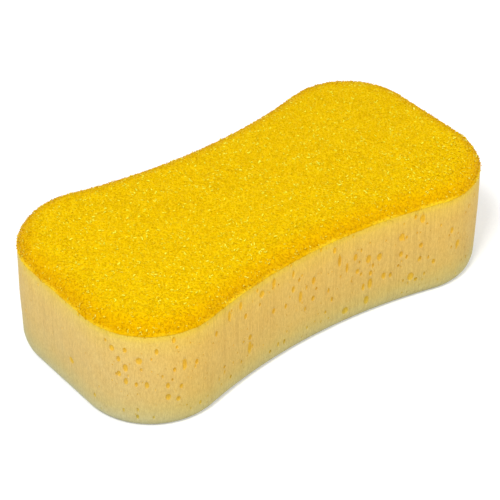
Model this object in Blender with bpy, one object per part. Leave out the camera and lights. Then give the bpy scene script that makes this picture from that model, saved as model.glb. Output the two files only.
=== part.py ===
"""Waisted wash sponge: a foam block with a layer of scouring fibre bonded on its top.

Metres, +Z up. The origin is the middle of the underside, and the long side runs along X.
"""

import math
import random

import bmesh
import bpy
from mathutils import Matrix, Vector

# Outline, seen from above
LENGTH = 0.220
LOBE_WIDTH = 0.1112
WAIST_DEPTH = 0.0096
CORNER_RADIUS = 0.0350

# Heights
FOAM_HEIGHT = 0.0514
PAD_THICKNESS = 0.0080
BOND_GAP = 0.0003

# Edges, and the swell of the cut sides between two shares of their height
FOOT_INSET = 0.0038
FOOT_RISE = 0.0065
SIDE_SWELL = 0.0003
SWELL_SHARES = (0.35, 0.7)
RIM_RADIUS = 0.0078
RIM_FLAT = 0.0004

# Pores in the cut sides
PORE_DEPTH = 0.0016
PORE_SINK = 0.85
PORE_SPACING = 0.0052
PORE_LAND = 0.0018
LARGEST_PORE_HEIGHT = 0.0060
SMALLEST_PORE_HEIGHT = 0.0026
PORE_SLENDERNESS = (0.48, 0.85)
FAR_SIDE_PORES = 34
FAR_SIDE_REACH = 0.8
END_PORES = 4
END_REACH = 0.2
PORE_TRIES = 400
PORE_SEED = 21

# Fineness of the curved shapes
CORNER_SEGMENTS = 17
WAIST_SEGMENTS = 8
EDGE_SEGMENTS = 5
RIM_SEGMENTS = 7
PORE_RINGS = 8
PORE_SEGMENTS = 8
WELD_DISTANCE = 1e-6
SHARP_ANGLE = math.radians(40)

# Surface colours, linear
CREAM = (0.76, 0.51, 0.15)
YELLOW = (0.88, 0.56, 0.003)

# Main pores of the near side, read by eye: along the outline as a percentage of the way from the
# waist to the middle of the end (negative towards -X), height as a percentage of the foam's height,
# then width and height in millimetres.
NEAR_SIDE_PORES = (
    (-94, 39, 3.0, 3.4),
    (-76, 84, 2.2, 3.0),
    (-72, 66, 2.0, 4.0),
    (-74, 74, 1.7, 3.2),
    (-68, 75, 2.6, 3.6),
    (-72, 51, 1.7, 3.8),
    (-66, 49, 1.8, 3.6),
    (-60, 47, 1.8, 3.2),
    (-60, 34, 2.4, 3.4),
    (-56, 43, 1.8, 3.0),
    (-55, 66, 2.0, 6.0),
    (-51, 64, 1.6, 3.0),
    (-32, 89, 1.9, 4.6),
    (-30, 75, 1.8, 3.0),
    (-28, 37, 2.4, 6.0),
    (-23, 87, 3.0, 3.8),
    (-18, 90, 2.0, 4.4),
    (-18, 60, 2.0, 3.0),
    (-10, 71, 2.0, 4.0),
    (-7, 58, 2.2, 6.0),
    (-2, 69, 2.0, 4.0),
    (6, 90, 1.8, 3.4),
    (8, 77, 1.8, 5.4),
    (11, 65, 1.6, 5.4),
    (11, 16, 3.4, 3.8),
    (14, 73, 2.0, 4.0),
    (15, 56, 2.0, 3.0),
    (19, 18, 2.6, 4.4),
    (19, 65, 2.6, 4.8),
    (20, 36, 2.4, 5.4),
    (20, 50, 1.8, 3.0),
    (23, 63, 2.6, 4.0),
    (25, 39, 2.2, 3.8),
    (31, 57, 2.0, 3.8),
    (31, 76, 3.2, 4.8),
    (35, 27, 3.0, 4.2),
    (38, 60, 2.0, 3.0),
    (38, 89, 2.6, 4.4),
    (43, 37, 1.8, 3.0),
    (49, 66, 1.8, 3.8),
    (52, 47, 2.8, 4.4),
)

MILLIMETRE = 0.001
PERCENT = 0.01


def clear_scene():
    """Remove whatever the scene holds."""
    for old in list(bpy.data.objects):
        bpy.data.objects.remove(old, do_unlink=True)


def new_collection(name):
    """A collection linked to the scene."""
    collection = bpy.data.collections.new(name)
    bpy.context.scene.collection.children.link(collection)
    return collection


def surface_material(name, colour, roughness):
    """A plain, non-metallic surface."""
    material = bpy.data.materials.new(name)
    material.diffuse_color = (*colour, 1.0)
    material.use_nodes = True
    shader = material.node_tree.nodes["Principled BSDF"]
    shader.inputs["Base Color"].default_value = (*colour, 1.0)
    shader.inputs["Roughness"].default_value = roughness
    shader.inputs["Metallic"].default_value = 0.0
    return material


def corner_centre():
    """Centre of the corner arc at +X, +Y."""
    return LENGTH / 2 - CORNER_RADIUS, LOBE_WIDTH / 2 - CORNER_RADIUS


def waist_radius():
    """Radius of the hollow arc that touches both corner arcs of a long side."""
    across, up = corner_centre()
    drop = LOBE_WIDTH / 2 - WAIST_DEPTH - up
    return (across**2 + drop**2 - CORNER_RADIUS**2) / (2 * WAIST_DEPTH)


def quarter_outline():
    """Points of the quarter at +X, +Y, from the middle of the end to the middle of the waist."""
    across, up = corner_centre()
    hollow = waist_radius()
    hollow_centre = LOBE_WIDTH / 2 - WAIST_DEPTH + hollow
    turn = math.atan2(across, hollow_centre - up)
    points = [(LENGTH / 2, 0.0)]
    for step in range(CORNER_SEGMENTS + 1):
        angle = (math.pi / 2 + turn) * step / CORNER_SEGMENTS
        points.append((across + CORNER_RADIUS * math.cos(angle), up + CORNER_RADIUS * math.sin(angle)))
    for step in range(1, WAIST_SEGMENTS + 1):
        angle = turn * (1 - step / WAIST_SEGMENTS)
        points.append((hollow * math.sin(angle), hollow_centre - hollow * math.cos(angle)))
    return points


def whole_outline():
    """Points of the closed outline, anticlockwise from the middle of the end at +X."""
    quarter = quarter_outline()
    half = quarter + [(-x, y) for x, y in reversed(quarter[:-1])]
    return half + [(x, -y) for x, y in reversed(half[1:-1])]


def foam_profile():
    """Side of the foam from the underside up, as (outward, height) from the outline."""
    points = []
    for step in range(EDGE_SEGMENTS + 1):
        angle = math.pi / 2 * step / EDGE_SEGMENTS
        points.append((FOOT_INSET * (math.sin(angle) - 1), FOOT_RISE * (1 - math.cos(angle))))
    for share in SWELL_SHARES:
        points.append((SIDE_SWELL, FOOT_RISE + share * (FOAM_HEIGHT - FOOT_RISE)))
    points.append((0.0, FOAM_HEIGHT))
    return points


def pad_profile():
    """Side of the scouring layer from its underside up, as (outward, height) from the outline."""
    rise = PAD_THICKNESS - BOND_GAP - RIM_FLAT
    points = [(0.0, 0.0)]
    for step in range(RIM_SEGMENTS + 1):
        angle = math.pi / 2 * step / RIM_SEGMENTS
        points.append((RIM_RADIUS * (math.cos(angle) - 1), RIM_FLAT + rise * math.sin(angle)))
    return points


def poly_curve(name, points, cyclic):
    """A 2D curve object through the points."""
    curve = bpy.data.curves.new(name, "CURVE")
    curve.dimensions = "2D"
    spline = curve.splines.new("POLY")
    spline.points.add(len(points) - 1)
    for target, (x, y) in zip(spline.points, points):
        target.co = (x, y, 0.0, 1.0)
    spline.use_cyclic_u = cyclic
    return bpy.data.objects.new(name, curve)


def swept_layer(name, profile, material, parts, cutters):
    """A closed layer: the outline carries the side profile round, and its caps are filled."""
    rail = poly_curve(name + "_outline", whole_outline(), True)
    section = poly_curve(name + "_section", [(-outward, height) for outward, height in profile], False)
    rail.data.fill_mode = "BOTH"
    rail.data.bevel_mode = "OBJECT"
    rail.data.bevel_object = section
    for helper in (rail, section):
        cutters.objects.link(helper)
        helper.hide_render = True
    bpy.context.view_layer.update()
    evaluated = rail.evaluated_get(bpy.context.evaluated_depsgraph_get())
    mesh = bpy.data.meshes.new_from_object(evaluated)
    mesh.name = name
    for helper in (rail, section):
        bpy.data.objects.remove(helper, do_unlink=True)
    shape = bmesh.new()
    shape.from_mesh(mesh)
    bmesh.ops.remove_doubles(shape, verts=shape.verts, dist=WELD_DISTANCE)
    bmesh.ops.recalc_face_normals(shape, faces=shape.faces)
    shape.to_mesh(mesh)
    shape.free()
    mesh.materials.clear()
    mesh.materials.append(material)
    mesh.shade_smooth()
    mesh.set_sharp_from_angle(angle=SHARP_ANGLE)
    layer = bpy.data.objects.new(name, mesh)
    parts.objects.link(layer)
    return layer


def point_along(outline, distance):
    """Place and outward direction on the closed outline, a distance on from its first point."""
    whole = sum(math.dist(a, b) for a, b in zip(outline, outline[1:] + outline[:1]))
    left = distance % whole
    for start, end in zip(outline, outline[1:] + outline[:1]):
        length = math.dist(start, end)
        if left <= length:
            break
        left -= length
    along = Vector((end[0] - start[0], end[1] - start[1], 0.0)).normalized()
    place = Vector((start[0], start[1], 0.0)) + along * left
    return place, Vector((along.y, -along.x, 0.0))


def side_swell_at(height):
    """How far the foam's side stands out from the outline at a height."""
    profile = foam_profile()
    for (low_out, low), (high_out, high) in zip(profile, profile[1:]):
        if low <= height <= high:
            return low_out + (high_out - low_out) * (height - low) / (high - low)
    return 0.0


def hand_placed_pores(quarter):
    """(distance along the outline, height, width, pore height) of the near side's pores."""
    waist = 3 * quarter
    return [
        (
            waist + quarter * along * PERCENT,
            FOAM_HEIGHT * up * PERCENT,
            width * MILLIMETRE,
            tall * MILLIMETRE,
        )
        for along, up, width, tall in NEAR_SIDE_PORES
    ]


def scattered_pores(middle, reach, count, taken, chance):
    """Up to count pores at random round a place on the outline, clear of the ones already taken."""
    low = FOOT_RISE + LARGEST_PORE_HEIGHT / 2
    high = FOAM_HEIGHT - PORE_LAND - LARGEST_PORE_HEIGHT / 2
    found = []
    for _ in range(PORE_TRIES):
        if len(found) == count:
            break
        along = middle + chance.uniform(-reach, reach)
        height = chance.uniform(low, high)
        tall = chance.uniform(SMALLEST_PORE_HEIGHT, LARGEST_PORE_HEIGHT)
        width = tall * chance.uniform(*PORE_SLENDERNESS)
        crowded = any(
            abs(other[0] - along) < PORE_SPACING and abs(other[1] - height) < PORE_SPACING
            for other in taken + found
        )
        if not crowded:
            found.append((along, height, width, tall))
    return found


def pore_cutter(cutters):
    """One mesh of separate ellipsoids, each sunk into the foam's side where a pore opens."""
    outline = whole_outline()
    quarter = sum(math.dist(a, b) for a, b in zip(outline, outline[1:] + outline[:1])) / 4
    chance = random.Random(PORE_SEED)
    pores = hand_placed_pores(quarter)
    pores += scattered_pores(quarter, quarter * FAR_SIDE_REACH, FAR_SIDE_PORES, pores, chance)
    pores += scattered_pores(0.0, quarter * END_REACH, END_PORES, pores, chance)
    shape = bmesh.new()
    for along, height, width, tall in pores:
        place, outward = point_along(outline, along)
        swell = side_swell_at(height)
        centre = place + outward * (swell + PORE_DEPTH * (1 - PORE_SINK)) + Vector((0.0, 0.0, height))
        side = Vector((0.0, 0.0, 1.0)).cross(outward)
        turn = Matrix((side, Vector((0.0, 0.0, 1.0)), outward)).transposed().to_4x4()
        size = Matrix.Diagonal((width / 2, tall / 2, PORE_DEPTH, 1.0))
        bmesh.ops.create_uvsphere(
            shape,
            u_segments=PORE_SEGMENTS,
            v_segments=PORE_RINGS,
            radius=1.0,
            matrix=Matrix.Translation(centre) @ turn @ size,
        )
    bmesh.ops.recalc_face_normals(shape, faces=shape.faces)
    mesh = bpy.data.meshes.new("pore_cutter")
    shape.to_mesh(mesh)
    shape.free()
    cutter = bpy.data.objects.new("pore_cutter", mesh)
    cutter.hide_render = True
    cutter.display_type = "WIRE"
    cutters.objects.link(cutter)
    return cutter


def main():
    clear_scene()
    parts = new_collection("sponge")
    cutters = new_collection("cutters")
    cream = surface_material("cream_foam", CREAM, 0.9)
    yellow = surface_material("yellow_fibre", YELLOW, 0.45)
    foam = swept_layer("foam_body", foam_profile(), cream, parts, cutters)
    pad = swept_layer("scrub_layer", pad_profile(), yellow, parts, cutters)
    pad.location.z = FOAM_HEIGHT + BOND_GAP
    pores = foam.modifiers.new("pores", "BOOLEAN")
    pores.operation = "DIFFERENCE"
    pores.solver = "EXACT"
    pores.object = pore_cutter(cutters)


main()
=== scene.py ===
"""Looks of a waisted wash sponge: a cut foam block under a bonded mat of curled scouring fibre.

Metres, +Z up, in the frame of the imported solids. The long side at -Y and the end at -X face the
camera.
"""

import logging
import math
import random
from dataclasses import dataclass, field
from enum import Enum, IntEnum
from typing import Any

import bmesh
import bpy
import numpy as np
from bpy.types import Material, Mesh, Node, NodeSocket, NodeTree, Object
from mathutils import Matrix, Vector


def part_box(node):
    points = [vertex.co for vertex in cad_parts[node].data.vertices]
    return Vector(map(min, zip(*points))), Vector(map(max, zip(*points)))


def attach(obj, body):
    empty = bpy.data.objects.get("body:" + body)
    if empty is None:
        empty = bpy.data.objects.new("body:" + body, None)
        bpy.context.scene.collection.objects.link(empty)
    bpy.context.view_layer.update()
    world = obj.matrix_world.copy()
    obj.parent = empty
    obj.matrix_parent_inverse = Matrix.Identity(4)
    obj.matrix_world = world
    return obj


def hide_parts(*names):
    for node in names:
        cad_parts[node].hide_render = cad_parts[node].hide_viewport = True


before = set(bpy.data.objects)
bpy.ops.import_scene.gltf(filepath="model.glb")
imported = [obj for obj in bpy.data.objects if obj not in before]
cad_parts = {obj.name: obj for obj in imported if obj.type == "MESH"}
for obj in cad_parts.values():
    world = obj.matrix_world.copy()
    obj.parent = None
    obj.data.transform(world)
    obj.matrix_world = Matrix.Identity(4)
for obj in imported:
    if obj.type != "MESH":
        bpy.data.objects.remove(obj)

LOG = logging.getLogger("sponge")
MM = 0.001
PERCENT = 0.01
BODY = "root"
FOAM_NODE = "foam_body"
FIBRE_NODE = "scrub_layer"
WELD_DISTANCE = 1e-6
WAIST_DEPTH = 9.6 * MM
CORNER_RADIUS = 35.0 * MM

Colour = tuple[float, float, float]


class Attribute(str, Enum):
    """Names of the values that the meshes carry for their trees and materials."""

    PORE_SHARE = "pore_share"
    WALL = "wall"
    PORE_DEPTH = "pore_depth"
    OUTWARD = "outward"
    HALF_SIZE = "half_size"
    COVER = "cover"
    RIM = "rim"
    SOLE = "sole"
    TINT = "tint"


class Draw(IntEnum):
    """Seeds of the random draws that every use of a tree shares."""

    PORE_HEIGHT = 5
    PORE_DEPTH = 6
    CURL_LEAN = 21
    CURL_ROLL = 22
    CURL_SHAPE = 23
    CURL_SCALE = 24
    CURL_TINT = 25


class TreeFiller:
    """Adds nodes to a node tree and joins them."""

    def __init__(self, tree: NodeTree) -> None:
        """Remember the tree that is filled."""
        self.tree = tree

    def socket(self, node: Node, key: str | int) -> NodeSocket:
        """Find an input of a node.

        Args:
            node: The node that has the input.
            key: The input's number, identifier or name.

        Returns:
            The input socket.
        """
        if isinstance(key, int):
            return node.inputs[key]
        for found in node.inputs:
            if found.identifier == key:
                return found
        return node.inputs[key]

    def add(self, kind: str, inputs: dict[str | int, Any] | None = None, **settings: Any) -> Node:
        """Add a node.

        Args:
            kind: The node's class name.
            inputs: A value or a socket for each input, by its number, identifier or name.
            settings: The node's own properties, such as its operation.

        Returns:
            The new node.
        """
        node = self.tree.nodes.new(kind)
        for name, value in settings.items():
            setattr(node, name, value)
        for key, value in (inputs or {}).items():
            target = self.socket(node, key)
            if isinstance(value, NodeSocket):
                self.tree.links.new(value, target)
            else:
                target.default_value = value
        return node

    def join(self, sockets: list[NodeSocket], target: NodeSocket) -> None:
        """Link several outputs to one input that takes many.

        Args:
            sockets: The outputs, in order.
            target: The input.
        """
        for found in sockets:
            self.tree.links.new(found, target)

    def maths(self, operation: str, first: Any, second: Any = 0.0, third: Any = 0.0) -> NodeSocket:
        """Add a Math node.

        Args:
            operation: Its operation.
            first: The first value or socket.
            second: The second value or socket.
            third: The third value or socket.

        Returns:
            Its result.
        """
        inputs = {0: first, 1: second, 2: third}
        return self.add("ShaderNodeMath", inputs, operation=operation).outputs[0]

    def scaled(self, vector: Any, factor: Any) -> NodeSocket:
        """Multiply a vector by one number.

        Args:
            vector: The vector or its socket.
            factor: The number or its socket.

        Returns:
            The scaled vector.
        """
        node = self.add("ShaderNodeVectorMath", {0: vector, "Scale": factor}, operation="SCALE")
        return node.outputs[0]

    def mapped(
        self, value: Any, source: tuple[float, float], target: tuple[Any, Any]
    ) -> NodeSocket:
        """Map a value from one range to another and clamp it there.

        Args:
            value: The value or its socket.
            source: The range it comes from.
            target: The range it goes to.

        Returns:
            The mapped value.
        """
        inputs = {
            "Value": value,
            "From Min": source[0],
            "From Max": source[1],
            "To Min": target[0],
            "To Max": target[1],
        }
        return self.add("ShaderNodeMapRange", inputs).outputs[0]

    def mixed(self, factor: Any, first: Any, second: Any, blend: str = "MIX") -> NodeSocket:
        """Mix two colours.

        Args:
            factor: How much of the second, as a value or a socket.
            first: The first colour or its socket.
            second: The second colour or its socket.
            blend: The way of mixing.

        Returns:
            The mixed colour.
        """
        inputs = {"Factor_Float": factor, "A_Color": first, "B_Color": second}
        return self.add("ShaderNodeMix", inputs, data_type="RGBA", blend_type=blend).outputs[2]

    def noise(self, vector: Any, scale: Any, detail: float = 2.0, roughness: float = 0.5) -> Node:
        """Add a noise texture.

        Args:
            vector: Where it is read.
            scale: Its lumps per metre.
            detail: Its octaves.
            roughness: How strong the finer octaves are.

        Returns:
            The noise node, with a value and a colour.
        """
        inputs = {"Vector": vector, "Scale": scale, "Detail": detail, "Roughness": roughness}
        return self.add("ShaderNodeTexNoise", inputs)

    def ripple(self, vector: Any, scale: Any, height: Any, detail: float = 1.0) -> NodeSocket:
        """Noise that swings evenly to both sides of nothing.

        Args:
            vector: Where it is read.
            scale: Its lumps per metre.
            height: The height between its lowest and highest value.
            detail: Its octaves.

        Returns:
            The ripple's value.
        """
        value = self.noise(vector, scale, detail=detail).outputs["Fac"]
        return self.maths("MULTIPLY", self.maths("SUBTRACT", value, 0.5), height)

    def attribute(self, name: Attribute, data_type: str = "FLOAT") -> NodeSocket:
        """Read a value that the mesh carries, in a geometry tree.

        Args:
            name: The value's name.
            data_type: The kind of value.

        Returns:
            The value's socket.
        """
        inputs = {"Name": name.value}
        return self.add("GeometryNodeInputNamedAttribute", inputs, data_type=data_type).outputs[0]

    def carried(self, name: Attribute) -> NodeSocket:
        """Read a value that the mesh carries, in a material."""
        return self.add("ShaderNodeAttribute", attribute_name=name.value).outputs["Fac"]

    def chance(self, low: Any, high: Any, seed: Any) -> NodeSocket:
        """A random number for each element.

        Args:
            low: The lowest value.
            high: The highest value.
            seed: The seed or its socket.

        Returns:
            The random value's socket.
        """
        inputs = {"Min_001": low, "Max_001": high, "Seed": seed}
        return self.add("FunctionNodeRandomValue", inputs, data_type="FLOAT").outputs[1]


def opaque(colour: Colour) -> tuple[float, float, float, float]:
    """The colour with an alpha of one."""
    return (*colour, 1.0)


@dataclass(frozen=True)
class HourglassOutline:
    """The outline from above: straight ends, round corners and a hollow arc on each long side."""

    length: float
    lobe_width: float
    waist_depth: float
    corner_radius: float

    def quarter(self) -> float:
        """Length of a quarter of the outline."""
        corner = self.corner_radius * self.corner_turn()
        return self.straight() + corner + self.hollow_radius() * self.hollow_turn()

    def straight(self) -> float:
        """Half the straight part of an end."""
        return self.lobe_width / 2 - self.corner_radius

    def across(self) -> float:
        """How far a corner arc's centre lies from the middle, along X."""
        return self.length / 2 - self.corner_radius

    def hollow_radius(self) -> float:
        """Radius of the hollow arc that touches both corner arcs of a long side."""
        drop = self.lobe_width / 2 - self.waist_depth - self.straight()
        return (self.across() ** 2 + drop**2 - self.corner_radius**2) / (2 * self.waist_depth)

    def hollow_centre(self) -> float:
        """How far the hollow arc's centre lies from the middle, along Y."""
        return self.lobe_width / 2 - self.waist_depth + self.hollow_radius()

    def hollow_turn(self) -> float:
        """Angle of half the hollow arc."""
        return math.atan2(self.across(), self.hollow_centre() - self.straight())

    def corner_turn(self) -> float:
        """Angle of a corner arc."""
        return math.pi / 2 + self.hollow_turn()

    def at(self, distance: np.ndarray) -> tuple[np.ndarray, np.ndarray]:
        """Places and outward directions along the outline.

        Args:
            distance: Distances anticlockwise from the middle of the end at +X.

        Returns:
            The places and the unit outward directions, one row each.
        """
        quarter = self.quarter()
        distance = np.mod(distance, 4 * quarter)
        number = np.minimum((distance // quarter).astype(int), 3)
        local = distance - number * quarter
        local = np.where(number % 2 == 1, quarter - local, local)
        corner_end = self.straight() + self.corner_radius * self.corner_turn()
        turn = np.clip((local - self.straight()) / self.corner_radius, 0.0, self.corner_turn())
        normal = np.stack([np.cos(turn), np.sin(turn)], axis=1)
        place = np.array([self.across(), self.straight()]) + self.corner_radius * normal
        place[:, 1] = np.where(local < self.straight(), local, place[:, 1])
        hollow = local > corner_end
        swing = self.hollow_turn() - (local - corner_end) / self.hollow_radius()
        facing = np.stack([-np.sin(swing), np.cos(swing)], axis=1)
        on_hollow = np.array([0.0, self.hollow_centre()]) - self.hollow_radius() * facing
        place = np.where(hollow[:, None], on_hollow, place)
        normal = np.where(hollow[:, None], facing, normal)
        across_sign = np.where((number == 1) | (number == 2), -1, 1)
        sign = np.stack([across_sign, np.where(number >= 2, -1, 1)], axis=1)
        return place * sign, normal * sign

    def columns(self, spacing: float) -> tuple[np.ndarray, np.ndarray]:
        """Evenly spaced places round the outline, mirrored in both middle planes.

        Args:
            spacing: The wanted distance between neighbours.

        Returns:
            The places and the unit outward directions.
        """
        per_quarter = math.ceil(self.quarter() / spacing)
        return self.at(np.arange(4 * per_quarter) * self.quarter() / per_quarter)

    def spine(self, places: np.ndarray) -> np.ndarray:
        """The points of the middle line that the places fold in to.

        Args:
            places: Places on the outline.

        Returns:
            One point of the middle line for each place.
        """
        reach = (self.length - self.lobe_width) / 2
        return np.stack([np.clip(places[:, 0], -reach, reach), np.zeros(len(places))], axis=1)


def closed_loft(name: str, rings: list[np.ndarray]) -> Mesh:
    """Skin a row of rings whose first and last are folded to a line.

    Args:
        name: The mesh's name.
        rings: Rings with equally many points, anticlockwise, from the underside outwards and up.

    Returns:
        A closed mesh that faces outwards.
    """
    count = len(rings[0])
    here = np.arange(count)
    following = (here + 1) % count
    faces = []
    for row in range(len(rings) - 1):
        low, high = row * count, (row + 1) * count
        faces.append(np.stack([low + here, low + following, high + following, high + here], axis=1))
    mesh = bpy.data.meshes.new(name)
    mesh.from_pydata(np.vstack(rings).tolist(), [], np.vstack(faces).tolist())
    shape = bmesh.new()
    shape.from_mesh(mesh)
    bmesh.ops.remove_doubles(shape, verts=shape.verts, dist=WELD_DISTANCE)
    bmesh.ops.recalc_face_normals(shape, faces=shape.faces)
    shape.to_mesh(mesh)
    shape.free()
    return mesh


def folded_rings(
    places: np.ndarray,
    edge: np.ndarray,
    height: float,
    shares: np.ndarray,
    outline: HourglassOutline,
) -> list[np.ndarray]:
    """Flat rings between the middle line and an edge.

    Args:
        places: The outline's own places, which say where the middle line is met.
        edge: The edge's places.
        height: Their height.
        shares: How far out each ring lies, from 0 at the middle line to 1 at the edge.
        outline: The outline that gives the middle line.

    Returns:
        The rings, in the order of the shares.
    """
    middle = outline.spine(places)
    level = np.full((len(places), 1), height)
    return [np.hstack([middle + share * (edge - middle), level]) for share in shares]


def wall_rings(
    places: np.ndarray, normals: np.ndarray, profile: list[tuple[float, float]]
) -> list[np.ndarray]:
    """Rings round an outline, one for each row of a profile.

    Args:
        places: The outline's places.
        normals: Their outward directions.
        profile: Outward distance from the outline and height of each row.

    Returns:
        The rings, in the order of the rows.
    """
    level = np.ones((len(places), 1))
    return [np.hstack([places + out * normals, height * level]) for out, height in profile]


def points_of(mesh: Mesh) -> np.ndarray:
    """The mesh's points as rows of three numbers."""
    found = np.empty(len(mesh.vertices) * 3, np.float32)
    mesh.vertices.foreach_get("co", found)
    return found.reshape(-1, 3).astype(float)


def inward_distance(points: np.ndarray, places: np.ndarray) -> np.ndarray:
    """How far each point lies from the nearest place of an outline, seen from above.

    Args:
        points: The points.
        places: The outline's places.

    Returns:
        One distance for each point.
    """
    distances = np.full(len(points), np.inf)
    for place in places:
        distances = np.minimum(distances, np.hypot(*(points[:, :2] - place).T))
    return distances


def store(mesh: Mesh, name: Attribute, values: np.ndarray) -> None:
    """Keep a number or a vector on each point of a mesh.

    Args:
        mesh: The mesh.
        name: The value's name.
        values: One number, or one row of three, for each point.
    """
    vector = values.ndim == 2
    kind = "FLOAT_VECTOR" if vector else "FLOAT"
    target = mesh.attributes.new(name.value, kind, "POINT")
    target.data.foreach_set("vector" if vector else "value", values.astype(np.float32).ravel())


def new_object(name: str, mesh: Mesh) -> Object:
    """Link a mesh into the scene as an object at the origin."""
    made = bpy.data.objects.new(name, mesh)
    bpy.context.scene.collection.objects.link(made)
    return made


def group_input(tree: NodeTree, sockets: dict[str, str]) -> dict[str, NodeSocket]:
    """Give a node group its named inputs.

    Args:
        tree: The node group.
        sockets: The type of each input, by its name.

    Returns:
        The inputs' sockets inside the group, by name.
    """
    for name, kind in sockets.items():
        tree.interface.new_socket(name, in_out="INPUT", socket_type=kind)
    node = tree.nodes.new("NodeGroupInput")
    return {name: node.outputs[name] for name in sockets}


def group_output(tree: NodeTree, sockets: dict[str, tuple[str, NodeSocket]]) -> None:
    """Give a node group its named outputs.

    Args:
        tree: The node group.
        sockets: The type of each output and the socket that feeds it, by its name.
    """
    for name, (kind, _) in sockets.items():
        tree.interface.new_socket(name, in_out="OUTPUT", socket_type=kind)
    node = tree.nodes.new("NodeGroupOutput")
    for name, (_, source) in sockets.items():
        tree.links.new(source, node.inputs[name])


def tree_end(fill: TreeFiller, geometry: NodeSocket, material: NodeSocket) -> None:
    """End a geometry tree with real, smoothly shaded faces that have their material.

    Args:
        fill: The filler of the tree.
        geometry: What the tree made.
        material: The material's socket.
    """
    whole = fill.add("GeometryNodeRealizeInstances", {"Geometry": geometry})
    smooth = fill.add("GeometryNodeSetShadeSmooth", {"Geometry": whole.outputs[0]})
    dressed = fill.add(
        "GeometryNodeSetMaterial", {"Geometry": smooth.outputs[0], "Material": material}
    )
    group_output(fill.tree, {"Geometry": ("NodeSocketGeometry", dressed.outputs[0])})


def applied(name: str, source: Object, tree: NodeTree, values: dict[str, Any]) -> Object:
    """Run a geometry tree on an object and keep the result as a plain mesh.

    Args:
        name: The new object's name.
        source: The object that the tree starts from. It stays as it is.
        tree: The geometry tree.
        values: The tree's inputs by name.

    Returns:
        A new object at the origin that holds the result.
    """
    modifier = source.modifiers.new("tree", "NODES")
    modifier.node_group = tree
    identifiers = {
        item.name: item.identifier
        for item in tree.interface.items_tree
        if item.item_type == "SOCKET" and item.in_out == "INPUT"
    }
    for key, value in values.items():
        modifier[identifiers[key]] = value
    source.update_tag()
    bpy.context.view_layer.update()
    evaluated = source.evaluated_get(bpy.context.evaluated_depsgraph_get())
    mesh = bpy.data.meshes.new_from_object(evaluated)
    source.modifiers.remove(modifier)
    mesh.name = name
    return new_object(name, mesh)


def dissolve_idle_points(mesh: Mesh) -> None:
    """Take out the points with two edges that a boolean leaves, so that faces triangulate well.

    Args:
        mesh: The mesh.
    """
    work = bmesh.new()
    work.from_mesh(mesh)
    while idle := [point for point in work.verts if len(point.link_edges) == 2]:
        bmesh.ops.dissolve_verts(work, verts=idle)
    work.to_mesh(mesh)
    work.free()


def triangles(piece: Object) -> int:
    """How many triangles a piece has."""
    piece.data.calc_loop_triangles()
    return len(piece.data.loop_triangles)


@dataclass
class ShaderGroups:
    """Shader node groups that the finishes share."""

    cloud_window: tuple[float, float] = (0.3, 0.7)
    cloud_detail: float = 3.0
    cell_window: tuple[float, float] = (0.15, 0.7)
    cell_grain: float = 0.6
    fine_roughness: float = 0.6

    def __post_init__(self) -> None:
        """Build each group once."""
        self.mottle = self._mottle()
        self.cells = self._cells()
        self.streaks = self._streaks()

    def _mottle(self) -> NodeTree:
        """A soft, cloudy value between a low and a high one."""
        tree = bpy.data.node_groups.new("soft_mottle", "ShaderNodeTree")
        given = group_input(
            tree,
            {
                "Coordinates": "NodeSocketVector",
                "Scale": "NodeSocketFloat",
                "Low": "NodeSocketFloat",
                "High": "NodeSocketFloat",
            },
        )
        fill = TreeFiller(tree)
        place, scale = given["Coordinates"], given["Scale"]
        cloud = fill.noise(place, scale, self.cloud_detail, self.fine_roughness)
        value = fill.mapped(cloud.outputs["Fac"], self.cloud_window, (given["Low"], given["High"]))
        group_output(tree, {"Value": ("NodeSocketFloat", value)})
        return tree

    def _cells(self) -> NodeTree:
        """Open cells of foam: a height and a mask of the cells' hollows."""
        tree = bpy.data.node_groups.new("foam_cells", "ShaderNodeTree")
        given = group_input(
            tree, {"Coordinates": "NodeSocketVector", "Cells per Metre": "NodeSocketFloat"}
        )
        fill = TreeFiller(tree)
        cell = fill.add(
            "ShaderNodeTexVoronoi",
            {"Vector": given["Coordinates"], "Scale": given["Cells per Metre"]},
            feature="F1",
        )
        hollow = fill.mapped(cell.outputs["Distance"], self.cell_window, (0.0, 1.0))
        grain = fill.noise(given["Coordinates"], given["Cells per Metre"])
        height = fill.maths("MULTIPLY_ADD", grain.outputs["Fac"], self.cell_grain, hollow)
        mask = fill.maths("SUBTRACT", 1.0, hollow)
        made = {"Height": height, "Hollow": mask}
        group_output(tree, {name: ("NodeSocketFloat", value) for name, value in made.items()})
        return tree

    def _streaks(self) -> NodeTree:
        """Upright streaks that a blade leaves on a cut side, as a value round one half."""
        tree = bpy.data.node_groups.new("cut_streaks", "ShaderNodeTree")
        given = group_input(
            tree,
            {
                "Coordinates": "NodeSocketVector",
                "Streaks per Metre": "NodeSocketFloat",
                "Flatness": "NodeSocketFloat",
            },
        )
        fill = TreeFiller(tree)
        parts = fill.add("ShaderNodeSeparateXYZ", {"Vector": given["Coordinates"]})
        low = fill.maths("MULTIPLY", parts.outputs["Z"], given["Flatness"])
        upright = fill.add(
            "ShaderNodeCombineXYZ", {"X": parts.outputs["X"], "Y": parts.outputs["Y"], "Z": low}
        )
        line = fill.noise(
            upright.outputs[0], given["Streaks per Metre"], roughness=self.fine_roughness
        )
        group_output(tree, {"Value": ("NodeSocketFloat", line.outputs["Fac"])})
        return tree


def surface_material(name: str) -> tuple[TreeFiller, Node, Material]:
    """A material with an empty Principled surface.

    Args:
        name: The material's name.

    Returns:
        The filler of its tree, its Principled node and the material.
    """
    material = bpy.data.materials.new(name)
    material.use_nodes = True
    shader = material.node_tree.nodes["Principled BSDF"]
    return TreeFiller(material.node_tree), shader, material


def set_plain(shader: Node, values: dict[str, Any]) -> None:
    """Set the inputs of a surface that are the same all over it."""
    for name, value in values.items():
        shader.inputs[name].default_value = value


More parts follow.
